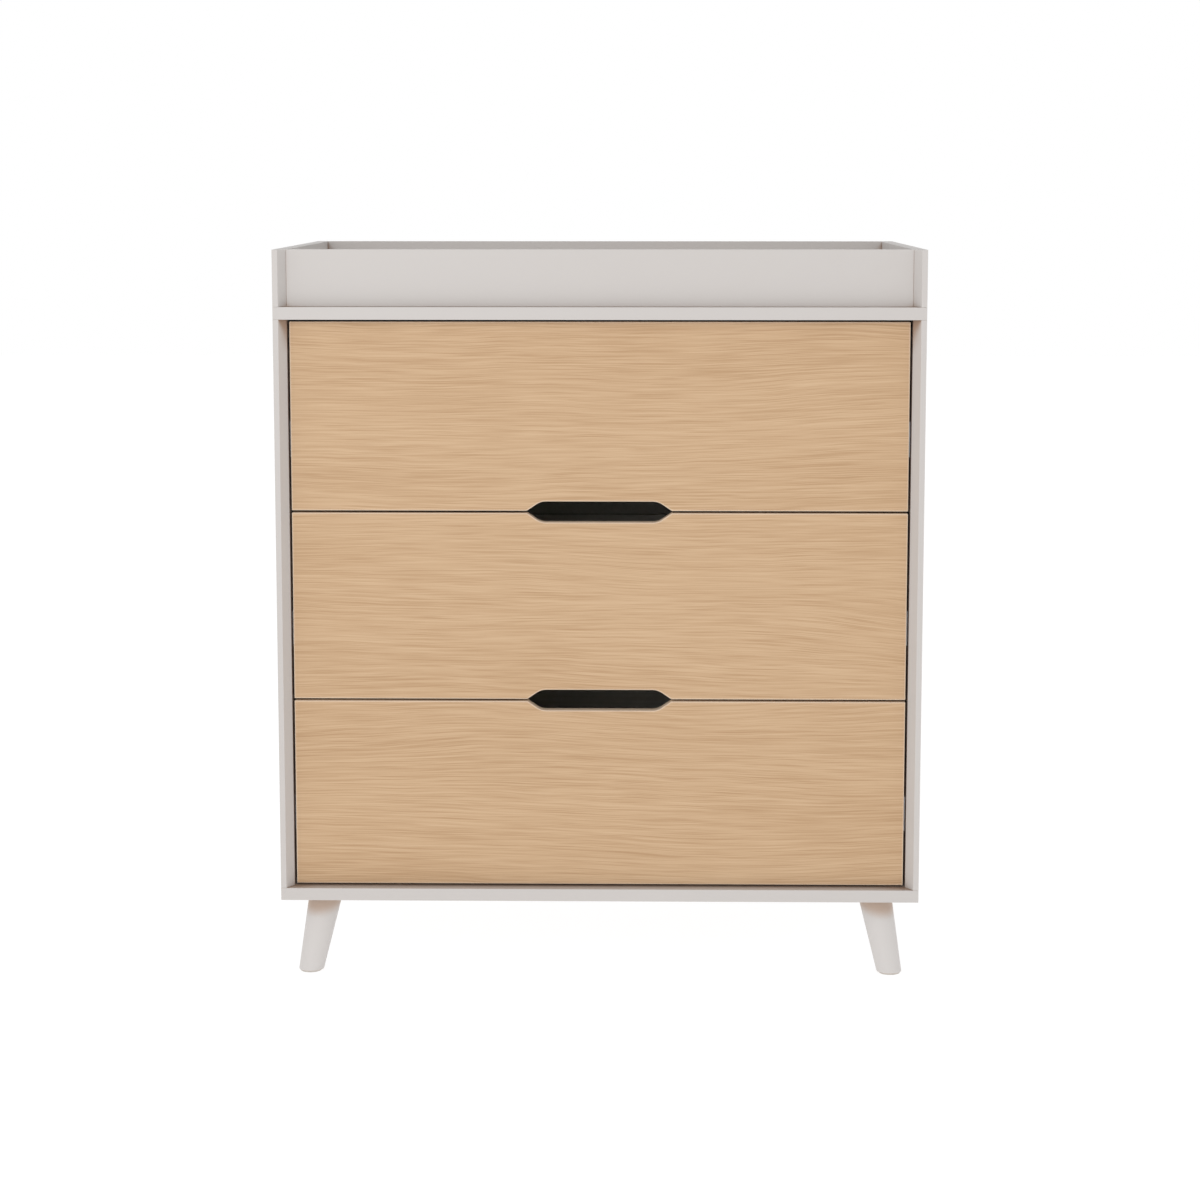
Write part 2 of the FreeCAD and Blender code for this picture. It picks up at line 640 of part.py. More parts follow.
def leg_rotation(splay):
    """Leans a leg outwards in the direction of its splay angle."""
    return Rotation(Vector(0, 0, 1), splay) * Rotation(Vector(0, 1, 0), -value(TILT))


def leg_point(side, end, along):
    """A point on a leg's axis, measured down the axis from the underside of the bottom panel."""
    out = f"({along}) * sin({TILT}) / sqrt(2)"
    down = f"({along}) * cos({TILT})"
    return f"{side} * ({LEG_X} + {out})", f"{end} * ({LEG_Y} + {out})", f"dims.leg_height - {down}"


def make_leg(name, side, end, splay):
    """A tapered round leg, square to its axis at the top and level at the foot."""
    body = new_body(f"{name}_leg", *leg_point(side, end, LEG_DROP), leg_rotation(splay))
    spare = "(dims.leg_foot_radius / 2)"
    taper = f"((dims.leg_top_radius - dims.leg_foot_radius) / {LEG_AXIS})"
    low_radius = f"dims.leg_foot_radius - {spare} * {taper}"
    profile = [
        ("0", "0"), ("dims.leg_top_radius - 1", "0"), ("dims.leg_top_radius", "-1"),
        (low_radius, f"-{LEG_AXIS} - {spare}"), ("0", f"-{LEG_AXIS} - {spare}"),
    ]
    turned(body, "taper", profile)
    reach = "(2 * dims.leg_foot_radius)"
    slope = f"{reach} * tan({TILT})"
    below = f"-{LEG_AXIS} - {slope} - dims.leg_foot_radius"
    floor = [
        (f"-{reach}", f"-{LEG_AXIS} + {slope}"), (f"-{reach}", below),
        (reach, below), (reach, f"-{LEG_AXIS} - {slope}"),
    ]
    level = cut(body, "level_foot", "-y", reach, floor, f"2 * {reach}")
    foot = Vector(0, 0, -value(LEG_AXIS))
    near = value("dims.leg_foot_radius / 2")
    rim = pick_edges(level, lambda edge: (edge.BoundBox.Center - foot).Length < near)
    fillet = body.newObject("PartDesign::Fillet", f"{body.Name}_foot_rim")
    fillet.Base = (level, rim)
    fillet.setExpression("Radius", "dims.front_round")
    drill(body, "hanger_hole", "-z", "0", [("0", "0")], "dims.hanger_radius", "dims.hanger_length")


def make_leg_plate():
    """A steel leg plate, splayed towards its own +X: a flat base with a tilted, threaded boss."""
    body = new_body("leg_plate_master", is_node=False)
    lean = Rotation(Vector(0, 1, 0), -value(TILT))
    boss = body.newObject("PartDesign::AdditiveCylinder", "leg_plate_boss")
    boss.setExpression("Radius", "dims.leg_top_radius - 2")
    boss.setExpression("Height", f"2 * {LEG_DROP}")
    place(boss, f"{LEG_DROP} * sin({TILT})", "0", f"-{LEG_DROP} * cos({TILT})", lean)
    corner = "dims.plate_size / sqrt(2)"
    trim = rectangle(f"-{corner}", f"-{corner}", corner, corner)
    cut(body, "trim", "+z", "0", trim, f"3 * {LEG_DROP}")
    diamond = [(corner, "0"), ("0", corner), (f"-{corner}", "0"), ("0", f"-{corner}")]
    base = extrude(body, "base", "-z", "0", diamond, "dims.plate_thickness")
    corner_distance = value(corner)
    upright = pick_edges(base, lambda edge: abs(
        math.hypot(edge.CenterOfMass.x, edge.CenterOfMass.y) - corner_distance) < 0.01)
    fillet = body.newObject("PartDesign::Fillet", "leg_plate_corners")
    fillet.Base = (base, upright)
    fillet.setExpression("Radius", "2 * dims.plate_thickness")
    thread = body.newObject("PartDesign::SubtractiveCylinder", "leg_plate_thread")
    thread.setExpression("Radius", "dims.hanger_radius + dims.hole_play")
    thread.setExpression("Height", f"3 * {LEG_DROP}")
    place(thread, f"2 * {LEG_DROP} * sin({TILT})", "0", f"-2 * {LEG_DROP} * cos({TILT})", lean)
    reach = "dims.plate_holes"
    holes = [(reach, "0"), ("0", reach), (f"-{reach}", "0"), ("0", f"-{reach}")]
    drill(body, "screws", "-z", "0", holes, "dims.screw_radius", "dims.plate_thickness")
    return body


def make_glide():
    """A round foot glide; its origin is at the middle of its underside."""
    body = new_body("glide_master", is_node=False)
    rim = "(dims.glide_radius - 0.6)"
    profile = [
        ("0", "0"), (rim, "0"), ("dims.glide_radius", "0.6"),
        ("dims.glide_radius", "dims.glide_height"), ("0", "dims.glide_height"),
    ]
    turned(body, "disc", profile)
    return body


def make_legs(kit):
    """Four legs with their plates, hanger bolts, screws and glides."""
    plates, bolts, glides = [], [], []
    for name, side, end, splay in leg_axes():
        make_leg(name, side, end, splay)
        turn = Rotation(Vector(0, 0, 1), splay)
        plates.append((f"{side} * {LEG_X}", f"{end} * {LEG_Y}", "dims.leg_height", turn))
        bolts.append((*leg_point(side, end, LEG_DROP), leg_rotation(splay)))
        foot_x = f"{side} * ({LEG_X} + dims.leg_spread)"
        foot_y = f"{end} * ({LEG_Y} + dims.leg_spread)"
        glides.append((foot_x, foot_y, "0", "+z"))
    screw_height = "dims.leg_height - dims.plate_thickness"
    screws = [(x, y, screw_height, "+z") for x, y in plate_screw_places()]
    group("leg_plates", (make_leg_plate(), plates))
    group("leg_bolts", (make_hanger_bolt(), bolts))
    group("leg_plate_screws", (kit["pan_screw"], screws))
    group("foot_glides", (make_glide(), glides))


# ---------------------------------------------------------------- anti-tip brackets


def make_bracket():
    """An L-shaped wall bracket; its origin is at its top rear edge."""
    body = new_body("bracket_master", is_node=False)
    half = "dims.bracket_width / 2"
    profile = [
        ("0", "0"), ("0", "-dims.bracket_drop"), ("-dims.bracket_steel", "-dims.bracket_drop"),
        ("-dims.bracket_steel", "-dims.bracket_steel"), ("-dims.bracket_reach", "-dims.bracket_steel"),
        ("-dims.bracket_reach", "0"),
    ]
    extrude(body, "angle", "+x", f"-{half}", profile, "dims.bracket_width")
    sketch = new_sketch(body, "wall_hole_circle", "y", "0")
    draw_circles(sketch, "dims.wall_hole_radius", [("0", "-dims.wall_hole_drop")])
    finish_cut(body, "wall_hole", "-y", sketch, "dims.bracket_steel")
    screw_hole = [("0", f"{BRACKET_SCREW_Y} - {HALF_DEPTH}")]
    drill(body, "screw_hole", "-z", "0", screw_hole, "dims.screw_radius", "dims.bracket_steel")
    return body


def make_anti_tip(kit):
    """Two wall brackets in the recess behind the back panel, screwed up into the top panel."""
    across = ["-dims.bracket_x", "dims.bracket_x"]
    brackets = [(x, HALF_DEPTH, TOP_UNDERSIDE, Rotation()) for x in across]
    group("anti_tip_brackets", (make_bracket(), brackets))
    screw_height = f"{TOP_UNDERSIDE} - dims.bracket_steel"
    screws = [(x, BRACKET_SCREW_Y, screw_height, "+z") for x in across]
    group("anti_tip_screws", (kit["pan_screw"], screws))


# ---------------------------------------------------------------- carcass joinery


def carcass_joints():
    """Middle of each side panel's end, with the way a fastener is driven there."""
    for side in SIDES.values():
        middle = f"{side} * ({INNER_HALF} + {MID_BOARD})"
        yield side, middle, BOTTOM_TOP, "-z"
        yield side, middle, TOP_UNDERSIDE, "+z"


def make_carcass_joinery(kit):
    """Cam locks, cam bolts and dowels between the panels, the rail and the tray."""
    locks, bolts, dowels = [], [], []
    for side, middle, height, drive in carcass_joints():
        towards_middle = "dims.cam_reach" if drive == "-z" else "-dims.cam_reach"
        face = f"{side} * {INNER_HALF}"
        lock_turn = turn_to(outward(side), drive)
        locks += [(face, y, f"{height} + {towards_middle}", lock_turn) for y in CAM_Y]
        bolts += [(middle, y, height, drive) for y in CAM_Y]
        dowels += [(middle, y, height, drive) for y in DOWEL_Y]
    rail_floor = f"{TOP_UNDERSIDE} - dims.rail_height"
    rail_middle = f"{RAIL_FRONT} + {MID_BOARD}"
    rail_cam = f"{rail_floor} + {RAIL_CAM_Z}"
    for side in SIDES.values():
        face = f"{side} * {INNER_HALF}"
        out = outward(side)
        locks.append((f"{face} - {side} * dims.cam_reach", RAIL_FRONT, rail_cam, turn_to("+y", out)))
        bolts.append((face, rail_middle, rail_cam, out))
        dowels += [(face, rail_middle, f"{rail_floor} + {height}", out) for height in RAIL_DOWEL_Z]
    group("cam_locks", (kit["cam_lock"], locks))
    group("cam_bolts", (kit["cam_bolt"], bolts))
    group("carcass_dowels", (kit["dowel"], dowels))


def make_tray_joinery(kit):
    """Dowels at the tray's corners and feet, and screws up through the top panel."""
    dowels, screws = [], []
    for side in SIDES.values():
        face = f"{side} * {INNER_HALF}"
        for start in TRAY_CROSS_BOARDS.values():
            line = f"{start} + {MID_BOARD}"
            dowels += [(face, line, f"{TOP_FACE} + {height}", outward(side)) for height in TRAY_DOWEL_Z]
        middle = f"{side} * ({INNER_HALF} + {MID_BOARD})"
        dowels += [(middle, y, TOP_FACE, "-z") for y in TRAY_DOWEL_Y]
    for start in TRAY_CROSS_BOARDS.values():
        screws += [(x, f"{start} + {MID_BOARD}", TOP_UNDERSIDE, "+z") for x in TRAY_SCREW_X]
    group("tray_dowels", (kit["dowel"], dowels))
    group("tray_screws", (kit["long_screw"], screws))


# ---------------------------------------------------------------- drawers


def front_outline(notch_low, notch_high):
    """Front view of a drawer front, with a notch in the edges that share a finger slot."""
    tip = "(dims.slot_width / 2)"
    shoulder = f"({tip} - dims.slot_cut / tan(dims.slot_slope * 1deg))"
    low_cut = "dims.slot_cut"
    high_cut = f"{FRONT_HEIGHT} - dims.slot_cut"
    corners = [(f"-{FRONT_HALF}", "0")]
    if notch_low:
        corners += [(f"-{tip}", "0"), (f"-{shoulder}", low_cut), (shoulder, low_cut), (tip, "0")]
    corners += [(FRONT_HALF, "0"), (FRONT_HALF, FRONT_HEIGHT)]
    if notch_high:
        corners += [(tip, FRONT_HEIGHT), (shoulder, high_cut)]
        corners += [(f"-{shoulder}", high_cut), (f"-{tip}", FRONT_HEIGHT)]
    corners.append((f"-{FRONT_HALF}", FRONT_HEIGHT))
    return corners, value(shoulder)


def make_drawer_front(name, index):
    """An oak-veneered front; its origin is on its front face, at the middle of its lower edge."""
    body = new_body(f"{name}_drawer_front", "0", FRONT_FACE, drawer_floor(index))
    is_lowest = index == 0
    is_highest = index == len(DRAWERS) - 1
    corners, shoulder = front_outline(not is_lowest, not is_highest)
    slab = extrude(body, "slab", "+y", "0", corners, "dims.board")
    half_board = value(MID_BOARD)
    shoulders = pick_edges(slab, lambda edge: abs(abs(edge.CenterOfMass.x) - shoulder) < 0.01
                           and abs(edge.CenterOfMass.y - half_board) < 0.01)
    softened = body.newObject("PartDesign::Fillet", f"{body.Name}_slot_round")
    softened.Base = (slab, shoulders)
    softened.setExpression("Radius", "dims.slot_round")
    round_all(body, softened, "dims.front_round")
    bolt_x = f"({DRAWER_INNER} + {MID_DRAWER_BOARD})"
    bolt_z = [f"dims.drawer_raise + {height}" for height in DRAWER_CAM_Z]
    bolt_holes = grid([f"-{bolt_x}", bolt_x], bolt_z)
    drill(body, "cam_bolts", "-y", "dims.board", bolt_holes, "dims.bolt_radius", "dims.bolt_thread")
    reach = f"({DRAWER_INNER} + dims.bottom_groove)"
    low = "dims.drawer_raise + dims.bottom_raise"
    high = f"dims.drawer_raise + {GROOVE_TOP}"
    cut(body, "groove", "-y", "dims.board", rectangle(f"-{reach}", low, reach, high), "dims.bottom_groove")


def make_drawer_side(name, side_name, side, floor):
    """A drawer side; its origin is on its inner face, at its front end and lower edge."""
    body = new_body(f"{name}_drawer_{side_name}_side", f"{side} * {DRAWER_INNER}", DRAWER_FRONT, floor)
    outside = f"{side} * dims.drawer_board"
    groove_end = f"{side} * dims.bottom_groove"
    profile = [
        ("0", "0"), (outside, "0"), (outside, "dims.drawer_height"), ("0", "dims.drawer_height"),
        ("0", GROOVE_TOP), (groove_end, GROOVE_TOP),
        (groove_end, "dims.bottom_raise"), ("0", "dims.bottom_raise"),
    ]
    slab = extrude(body, "slab", "+y", "0", profile, "dims.drawer_length")
    round_all(body, slab, "dims.paint_round")
    cam_holes = grid(["dims.cam_reach"], DRAWER_CAM_Z)
    drill(body, "cams", outward(side), "0", cam_holes, "dims.cam_radius", "dims.small_cam_depth")
    bolt_holes = grid([f"{side} * {MID_DRAWER_BOARD}"], DRAWER_CAM_Z)
    drill(body, "bolts", "+y", "0", bolt_holes, "dims.dowel_radius", BOLT_HOLE_DEPTH)
    runner_holes = [(f"dims.runner_front + {offset}", "dims.runner_raise") for offset in RUNNER_SCREW_Y]
    screw_depth = "dims.screw_length - dims.steel"
    drill(body, "runner_screws", inward(side), outside, runner_holes, "dims.screw_radius", screw_depth)
    back_holes = grid([f"dims.drawer_length - {MID_DRAWER_BOARD}"], DRAWER_SCREW_Z)
    radius = "dims.long_radius"
    through = drill(body, "back_screws", inward(side), outside, back_holes, radius, "dims.drawer_board")
    countersink(body, "back_screw_sinks", through, "x", outside, radius)


def make_drawer_back(name, floor):
    """A drawer back between the sides; its origin is at the middle of its front lower edge."""
    start = f"{DRAWER_FRONT} + dims.drawer_length - dims.drawer_board"
    body = new_body(f"{name}_drawer_back", "0", start, floor)
    profile = [
        ("0", "0"), ("dims.drawer_board", "0"), ("dims.drawer_board", "dims.drawer_height"),
        ("0", "dims.drawer_height"), ("0", GROOVE_TOP), ("dims.bottom_groove", GROOVE_TOP),
        ("dims.bottom_groove", "dims.bottom_raise"), ("0", "dims.bottom_raise"),
    ]
    slab = extrude(body, "slab", "+x", f"-{DRAWER_INNER}", profile, f"2 * {DRAWER_INNER}")
    round_all(body, slab, "dims.paint_round")
    for side_name, side in SIDES.items():
        end = f"{side} * {DRAWER_INNER}"
        holes = grid([MID_DRAWER_BOARD], DRAWER_SCREW_Z)
        depth = "dims.long_length - dims.drawer_board"
        drill(body, f"{side_name}_screws", inward(side), end, holes, "dims.long_radius", depth)


def make_drawer_bottom(name, floor):
    """A drawer bottom in the grooves of the front, sides and back."""
    start = f"{DRAWER_FRONT} - {TONGUE}"
    height = f"{floor} + dims.bottom_raise + dims.groove_play"
    body = new_body(f"{name}_drawer_bottom", "0", start, height)
    reach = f"({DRAWER_INNER} + {TONGUE})"
    length = f"dims.drawer_length - dims.drawer_board + 2 * {TONGUE}"
    extrude(body, "sheet", "+z", "0", rectangle(f"-{reach}", "0", reach, length), "dims.drawer_bottom")


def make_drawer_fasteners(name, floor, kit):
    """Cams that hold the front, screws that hold the back, and screws of the drawer members."""
    locks, bolts, back_screws, runner_screws = [], [], [], []
    lock_line = f"{DRAWER_FRONT} + dims.cam_reach"
    back_line = f"{DRAWER_FRONT} + dims.drawer_length - {MID_DRAWER_BOARD}"
    for side in SIDES.values():
        inner_face = f"{side} * {DRAWER_INNER}"
        outer_face = f"{side} * {DRAWER_HALF}"
        middle = f"{side} * ({DRAWER_INNER} + {MID_DRAWER_BOARD})"
        web = f"{side} * ({DRAWER_HALF} + dims.steel)"
        lock_turn = turn_to(outward(side), "-y")
        for height in DRAWER_CAM_Z:
            locks.append((inner_face, lock_line, f"{floor} + {height}", lock_turn))
            bolts.append((middle, DRAWER_FRONT, f"{floor} + {height}", "-y"))
        for height in DRAWER_SCREW_Z:
            back_screws.append((outer_face, back_line, f"{floor} + {height}", inward(side)))
        for y in RUNNER_SCREW_AT:
            runner_screws.append((web, y, f"{floor} + dims.runner_raise", inward(side)))
    group(f"{name}_drawer_cams", (kit["small_cam"], locks), (kit["cam_bolt"], bolts))
    group(f"{name}_drawer_back_screws", (kit["long_screw"], back_screws))
    group(f"{name}_drawer_runner_screws", (kit["pan_screw"], runner_screws))


# ---------------------------------------------------------------- runners


def channel(side, web, opens, height, lip):
    """Cross-section of a runner member: a web at a distance from the side panel, and two lips.

    opens is +1 where the lips point away from the side panel and -1 where they point to it.
    """
    half = f"({height} / 2)"
    inner_half = f"({half} - dims.steel)"

    def across(distance):
        return f"{-side} * ({web} + {opens} * ({distance}))"

    return [
        (across("0"), f"-{half}"), (across("0"), half), (across(lip), half),
        (across(lip), inner_half), (across("dims.steel"), inner_half),
        (across("dims.steel"), f"-{inner_half}"), (across(lip), f"-{inner_half}"),
        (across(lip), f"-{half}"),
    ]


RUNNER_MEMBERS = {
    # name: web's distance from the side panel, way it opens, height, lip, screw holes
    "cabinet": ("0", 1, "dims.cabinet_member", "9", True),
    "middle": ("4.2", 1, "dims.middle_member", "7.2", False),
    "drawer": ("dims.runner_space", -1, "dims.drawer_member", "6.4", True),
}


def make_runner_members(name, index):
    """A left and a right runner; each kind of member is one node with two separate solids."""
    for kind, (web, opens, height, lip, has_holes) in RUNNER_MEMBERS.items():
        pair = []
        for side_name, side in SIDES.items():
            label = f"{name}_{kind}_member_{side_name}"
            x = f"{side} * {INNER_HALF}"
            body = new_body(label, x, RUNNER_START, runner_middle(index), is_node=False)
            profile = channel(side, web, opens, height, lip)
            extrude(body, "channel", "+y", "0", profile, "dims.runner_length")
            if has_holes:
                start = f"{-side} * ({web})"
                direction = inward(side) if opens > 0 else outward(side)
                holes = grid(RUNNER_SCREW_Y, ["0"])
                drill(body, "screws", direction, start, holes, "dims.screw_radius", "dims.steel")
            pair.append(body)
        gather(f"{name}_runner_{kind}_members", pair)


def make_cabinet_runner_screws(kit):
    """Screws that hold the cabinet members to the side panels."""
    screws = []
    for index in range(len(DRAWERS)):
        for side in SIDES.values():
            web = f"{side} * ({INNER_HALF} - dims.steel)"
            screws += [(web, y, runner_middle(index), outward(side)) for y in RUNNER_SCREW_AT]
    group("runner_screws", (kit["pan_screw"], screws))


def make_drawer(name, index, kit):
    """One drawer with its runners and fasteners."""
    floor = f"({drawer_floor(index)} + dims.drawer_raise)"
    make_drawer_front(name, index)
    for side_name, side in SIDES.items():
        make_drawer_side(name, side_name, side, floor)
    make_drawer_back(name, floor)
    make_drawer_bottom(name, floor)
    make_runner_members(name, index)
    make_drawer_fasteners(name, floor, kit)


# ---------------------------------------------------------------- build, check and write


def build():
    """Makes every sub-part."""
    kit = {
        "dowel": make_dowel(),
        "cam_bolt": make_cam_bolt(),
        "cam_lock": make_cam_lock("cam_lock_master", "dims.cam_depth", MID_BOARD),
        "small_cam": make_cam_lock("small_cam_master", "dims.small_cam_depth", MID_DRAWER_BOARD),
        "pan_screw": make_pan_screw(),
        "long_screw": make_long_screw(),
    }
    for name, side in SIDES.items():
        make_side_panel(name, side)
    make_top_panel()
    make_bottom_panel()
    make_back()
    make_tray()
    make_legs(kit)
    make_anti_tip(kit)
    make_carcass_joinery(kit)
    make_tray_joinery(kit)
    make_cabinet_runner_screws(kit)
    for index, name in enumerate(DRAWERS):
        make_drawer(name, index, kit)
    doc.recompute()


def check():
    """Stops if any object failed, any cut removed nothing, or any sub-part is not valid."""
    for item in doc.Objects:
        if "Invalid" in item.State or "Error" in item.State:
            raise RuntimeError(f"{item.Label} failed: {item.State}")
        if item.TypeId == "PartDesign::Pocket":
            removed = item.BaseFeature.Shape.Volume - item.Shape.Volume
            if removed < 0.1:
                raise RuntimeError(f"{item.Label} cuts nothing")
    for label, item in nodes.items():
        if item.Shape.isNull() or not item.Shape.isValid():
            raise RuntimeError(f"{label} is not a valid shape")


def write():
    """Writes one file for each sub-part."""
    for label, item in nodes.items():
        item.Shape.exportStep(f"parts/{label}.step")
    print(f"{len(nodes)} sub-parts")


build()
check()
write()
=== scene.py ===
"""Looks for the changing table: painted carcass and legs, oak drawer fronts, steel runners."""

import json
import math

import bmesh
import bpy
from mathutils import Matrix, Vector

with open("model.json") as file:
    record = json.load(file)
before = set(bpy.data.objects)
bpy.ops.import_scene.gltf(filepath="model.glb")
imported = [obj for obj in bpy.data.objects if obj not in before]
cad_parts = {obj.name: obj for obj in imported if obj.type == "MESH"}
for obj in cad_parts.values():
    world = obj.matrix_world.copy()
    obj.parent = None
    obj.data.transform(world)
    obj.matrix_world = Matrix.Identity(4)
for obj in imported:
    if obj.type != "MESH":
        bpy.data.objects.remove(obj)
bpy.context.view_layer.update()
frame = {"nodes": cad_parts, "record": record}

# Metres and watts, in the object's frame.
PAINTED_SHADE_REACH = 0.045        # how far the painted shade in a corner spreads over the paint
BAY_MIDDLE = 0.4895         # height of the middle of the space that the drawers slide in
BAY_HALF_HEIGHT = 0.368     # and half its height
BAY_MOUTH = (-0.222, -0.212)    # where along Y it begins, just in front of the drawer fronts
PAINT_RIM = 0.0012          # lighter band along a painted edge
VENEER_HIGHLIGHT_RIM = 0.0030         # painted highlight: pale band along a veneered edge's rounding
FLOOR_REACH = 12.0
FLOOR_GLOW = 0.84
KEY_SIZE = 2.4
KEY_POWER = 34
KEY_PLACE = (-1.0, -3.6, 2.0)
KEY_TARGET = (0, 0, 0.5)

# ---------------------------------------------------------------- material building


class Recipe:
    """A material under construction. Lengths are in metres and every pattern is fixed to the object."""

    def __init__(self, name):
        self.material = bpy.data.materials.new(name)
        self.material.use_nodes = True
        self.tree = self.material.node_tree
        self.shader = self.tree.nodes["Principled BSDF"]
        self.place = self.node("ShaderNodeTexCoord").outputs["Object"]

    def node(self, kind, inputs=None, **settings):
        """Adds a node, sets its options and fills or links its inputs."""
        node = self.tree.nodes.new(kind)
        for name, setting in settings.items():
            setattr(node, name, setting)
        for name, source in (inputs or {}).items():
            self.fill(node.inputs[name], source)
        return node

    def fill(self, socket, source):
        """Links a socket to another node's output, or sets its value."""
        if isinstance(source, bpy.types.NodeSocket):
            self.tree.links.new(source, socket)
        else:
            socket.default_value = source

    def stretched(self, scale, offset=(0, 0, 0), place=None):
        """The place in the object, scaled on each axis: cycles per metre."""
        inputs = {"Vector": place or self.place, "Scale": scale, "Location": offset}
        return self.node("ShaderNodeMapping", inputs).outputs["Vector"]

    def noise(self, vector, detail=3.0, roughness=0.5, distortion=0.0):
        """A noise value near 0.5 at one cycle per unit of its vector."""
        inputs = {"Vector": vector, "Scale": 1.0}
        inputs |= {"Detail": detail, "Roughness": roughness, "Distortion": distortion}
        return self.node("ShaderNodeTexNoise", inputs).outputs["Fac"]

    def calculate(self, operation, first, second=0.0):
        """One arithmetic step."""
        return self.node("ShaderNodeMath", {0: first, 1: second}, operation=operation).outputs["Value"]

    def weighted(self, *parts):
        """The sum of values, each given with its weight."""
        products = [self.calculate("MULTIPLY", source, weight) for source, weight in parts]
        total = products[0]
        for product in products[1:]:
            total = self.calculate("ADD", total, product)
        return total

    def spread(self, source, low, high, to_low=0.0, to_high=1.0):
        """Maps low..high to to_low..to_high, clamped."""
        inputs = {"Value": source, "From Min": low, "From Max": high, "To Min": to_low, "To Max": to_high}
        return self.node("ShaderNodeMapRange", inputs).outputs["Result"]

    def mix(self, factor, first, second):
        """A colour between two colours."""
        node = self.node("ShaderNodeMix", data_type="RGBA")
        self.fill(node.inputs["Factor"], factor)
        self.fill(node.inputs[6], first)
        self.fill(node.inputs[7], second)
        return node.outputs[2]

    def facing(self, axis):
        """How squarely a surface faces along an axis of the object, 0 to 1."""
        normal = self.node("ShaderNodeNewGeometry").outputs["True Normal"]
        turned = self.node(
            "ShaderNodeVectorTransform", {"Vector": normal},
            vector_type="NORMAL", convert_from="WORLD", convert_to="OBJECT").outputs["Vector"]
        split = self.node("ShaderNodeSeparateXYZ", {"Vector": turned})
        return self.calculate("ABSOLUTE", split.outputs[axis])

    def openness(self):
        """How open the surroundings above a surface are: 1 in the open, 0 shut in within 45 mm."""
        normal = self.node("ShaderNodeNewGeometry").outputs["Normal"]
        upward = self.node("ShaderNodeVectorMath", {0: normal, 1: (0, 0, 0.8)}, operation="ADD")
        inputs = {"Distance": PAINTED_SHADE_REACH, "Normal": upward.outputs["Vector"]}
        return self.node("ShaderNodeAmbientOcclusion", inputs, samples=24).outputs["AO"]

    def outside_bay(self):
        """1 outside the space that the drawers slide in, 0 on the boards' faces inside it."""
        split = self.node("ShaderNodeSeparateXYZ", {"Vector": self.place})
        from_middle = self.calculate("ABSOLUTE", self.calculate("SUBTRACT", split.outputs["Z"], BAY_MIDDLE))
        behind_fronts = self.spread(split.outputs["Y"], *BAY_MOUTH)
        between_panels = self.calculate("LESS_THAN", from_middle, BAY_HALF_HEIGHT)
        return self.calculate("SUBTRACT", 1.0, self.calculate("MULTIPLY", behind_fronts, between_panels))

    def rim(self, radius):
        """1 along the edges of a board, within about a radius of them, and 0 on its faces."""
        normal = self.node("ShaderNodeNewGeometry").outputs["Normal"]
        soft = self.node("ShaderNodeBevel", {"Radius": radius}, samples=4).outputs["Normal"]
        turn = self.node("ShaderNodeVectorMath", {0: normal, 1: soft}, operation="DOT_PRODUCT")
        return self.spread(turn.outputs["Value"], 0.995, 0.90)

    def bump(self, height, depth, strength=1.0):
        """Raises the surface by a height value times a depth in metres."""
        inputs = {"Height": height, "Distance": depth, "Strength": strength}
        self.fill(self.shader.inputs["Normal"], self.node("ShaderNodeBump", inputs).outputs["Normal"])

    def finish(self, colour, roughness, fixed):
        """Joins the pattern to the shader and sets its fixed values, by socket name."""
        self.fill(self.shader.inputs["Base Color"], colour)
        self.fill(self.shader.inputs["Roughness"], roughness)
        for name, number in fixed.items():
            self.shader.inputs[name].default_value = number
        return self.material


def paint(name, colour, shade, edge_tone, painted_corner_shade):
    """Satin spray paint on board: faint roller texture, lighter edges in patches, and painted shade in the
    corners: a warm brown darkening where the surroundings above are shut in.
    """
    recipe = Recipe(name)
    drift = recipe.noise(recipe.stretched((2.2, 2.2, 2.2)), detail=3)
    mottle = recipe.noise(recipe.stretched((45, 45, 45)), detail=4)
    peel = recipe.noise(recipe.stretched((650, 650, 650)), detail=2)
    tone = recipe.weighted((drift, 0.75), (mottle, 0.25))
    body = recipe.mix(recipe.spread(tone, 0.32, 0.68), shade, colour)
    # Lighter paint along the edges, in patches.
    edge_patches = recipe.spread(mottle, 0.35, 0.6, 0.35, 0.9)
    edge_amount = recipe.calculate("MULTIPLY", recipe.rim(PAINT_RIM), edge_patches)
    with_edge_tone = recipe.mix(edge_amount, body, edge_tone)
    # Painted shade: the paint turns warm brown where ambient occlusion finds the surroundings above shut in,
    # but not on the boards' faces inside the drawer bay.
    painted_shade_amount = recipe.spread(recipe.openness(), 0.66, 0.44, 0.0, 0.80)
    painted_shade_mask = recipe.calculate("MULTIPLY", painted_shade_amount, recipe.outside_bay())
    with_painted_shade = recipe.mix(painted_shade_mask, with_edge_tone, painted_corner_shade)
    roughness = recipe.spread(mottle, 0.3, 0.7, 0.40, 0.50)
    recipe.bump(peel, 0.00004, 0.5)
    return recipe.finish(with_painted_shade, roughness, {"Specular IOR Level": 0.42})


